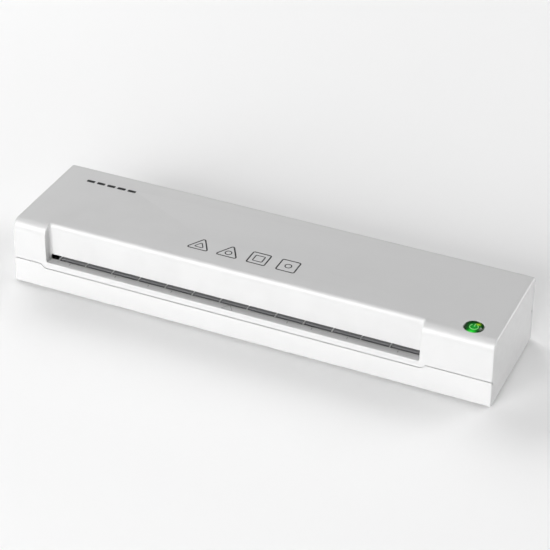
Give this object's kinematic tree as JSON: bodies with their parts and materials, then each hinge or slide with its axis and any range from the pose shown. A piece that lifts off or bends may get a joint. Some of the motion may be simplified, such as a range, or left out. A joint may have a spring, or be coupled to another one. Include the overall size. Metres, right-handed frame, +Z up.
{
  "type": "pouch laminator",
  "caption": "Desktop hot pouch laminator: slim white case with a wide front entry slot, heated plates, a geared roller pair and a lit push button.",
  "frame": {"origin": "middle of the footprint, on the surface that the feet stand on", "axes": "+X to the right as the user faces the entry slot, +Y to the back where the pouch comes out, +Z up"},
  "size_m": [0.43, 0.106, 0.0618],
  "materials": {
    "white_plastic": "satin moulded white",
    "rear_white": "fine-textured moulded white",
    "foot_rubber": "matt rubber",
    "zinc_steel": "zinc-plated sheet and bar",
    "aluminium": "mill finish",
    "silicone": "ground silicone",
    "gear_plastic": "moulded acetal",
    "black_plastic": "moulded black",
    "guide_grey": "moulded dark grey",
    "green_lens": "translucent green, lit",
    "board_green": "solder mask",
    "mica": "mica sheet",
    "insulator": "heat-resistant moulded",
    "bush_plastic": "filled polymer",
    "spring_steel": "bright wire",
    "wire_jacket": "flexible jacket"
  },
  "bodies": {
    "root": {"top_cover": "white_plastic", "base_tray": "white_plastic", "rear_cover": "rear_white", "foot_front_left": "foot_rubber", "foot_front_right": "foot_rubber", "foot_rear_left": "foot_rubber", "foot_rear_right": "foot_rubber", "case_screw_front_left": "zinc_steel", "case_screw_front_right": "zinc_steel", "case_screw_rear_left": "zinc_steel", "case_screw_rear_right": "zinc_steel", "button_bezel": "black_plastic", "tact_switch": "black_plastic", "status_led": "green_lens", "control_board": "board_green", "board_capacitor": "black_plastic", "board_connector": "insulator", "mains_inlet": "black_plastic", "entry_guide_lower": "guide_grey", "entry_guide_upper": "guide_grey", "exit_guide_lower": "guide_grey", "exit_guide_upper": "guide_grey", "side_frame_left": "zinc_steel", "side_frame_right": "zinc_steel", "tie_bar_front": "zinc_steel", "tie_bar_rear": "zinc_steel", "heater_plate_lower": "aluminium", "heater_plate_upper": "aluminium", "heating_element_lower": "mica", "heating_element_upper": "mica", "heater_block_left": "insulator", "heater_block_right": "insulator", "thermostat": "black_plastic", "thermal_fuse": "zinc_steel", "lower_bush_left": "bush_plastic", "lower_bush_right": "bush_plastic", "pressure_spring_left": "spring_steel", "pressure_spring_right": "spring_steel", "gearbox": "zinc_steel", "drive_motor": "aluminium", "motor_mount": "zinc_steel", "wire_mains": "black_plastic", "wire_motor": "wire_jacket", "wire_heater": "wire_jacket"},
    "lower_roller": {"lower_roller_core": "zinc_steel", "lower_roller_sleeve": "silicone", "lower_roller_gear": "gear_plastic"},
    "upper_carriage": {"upper_bush_left": "bush_plastic", "upper_bush_right": "bush_plastic"},
    "upper_roller": {"upper_roller_core": "zinc_steel", "upper_roller_sleeve": "silicone", "upper_roller_gear": "gear_plastic"},
    "pinion": {"motor_pinion": "gear_plastic"},
    "button": {"power_button": "green_lens", "button_stem": "black_plastic"}
  },
  "joints": [
    {"name": "lower_roller_spin", "type": "hinge", "parent": "root", "child": "lower_roller", "pos_m": [0, 0.018, 0.0192], "axis": [1, 0, 0], "continuous": true},
    {"name": "upper_carriage_lift", "type": "slide", "parent": "root", "child": "upper_carriage", "axis": [0, 0, 1], "range_m": [0, 0.001], "stiffness_N_per_m": 6000, "springref_m": -0.002, "deforming": ["pressure_spring_left", "pressure_spring_right"]},
    {"name": "upper_roller_spin", "type": "hinge", "parent": "upper_carriage", "child": "upper_roller", "pos_m": [0, 0.018, 0.0415], "axis": [1, 0, 0], "continuous": true},
    {"name": "pinion_spin", "type": "hinge", "parent": "root", "child": "pinion", "pos_m": [0, 0.00093, 0.01675], "axis": [1, 0, 0], "continuous": true},
    {"name": "power_button_press", "type": "slide", "parent": "root", "child": "button", "axis": [0, 0, -1], "range_m": [0, 0.0012], "stiffness_N_per_m": 700, "springref_m": -0.0015}
  ],
  "couplings": [
    {"joint": "upper_roller_spin", "follows": "lower_roller_spin", "ratio": -1},
    {"joint": "pinion_spin", "follows": "lower_roller_spin", "ratio": -1.8333}
  ]
}
